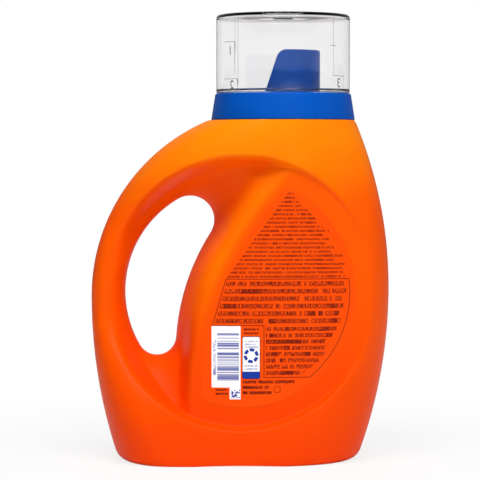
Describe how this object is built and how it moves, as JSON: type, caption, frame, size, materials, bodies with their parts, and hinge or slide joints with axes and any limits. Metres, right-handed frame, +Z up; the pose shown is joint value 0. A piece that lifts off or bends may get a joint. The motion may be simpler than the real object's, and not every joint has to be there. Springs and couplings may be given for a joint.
{
  "type": "laundry detergent bottle",
  "caption": "Blow-moulded liquid detergent bottle with a through handle, a pour spout fitment, a clear measuring cup as its cap and film labels.",
  "frame": {"origin": "middle of the foot, on the surface that the bottle stands on", "axes": "+Z up, -Y towards the face that the picture shows, +X away from the handle"},
  "size_m": [0.1612, 0.086, 0.24],
  "materials": {
    "bottle": "satin",
    "spout": "satin",
    "cup": "clear, glossy",
    "label": "satin film"
  },
  "bodies": {
    "bottle": {"bottle": "bottle", "pour_spout": "spout", "back_label": "label", "front_label": "label"},
    "measuring_cap": {"measuring_cap": "cup"}
  },
  "joints": [
    {"name": "cap_lift", "type": "slide", "parent": "bottle", "child": "measuring_cap", "axis": [0, 0, 1], "range_m": [0, 0.07]}
  ]
}
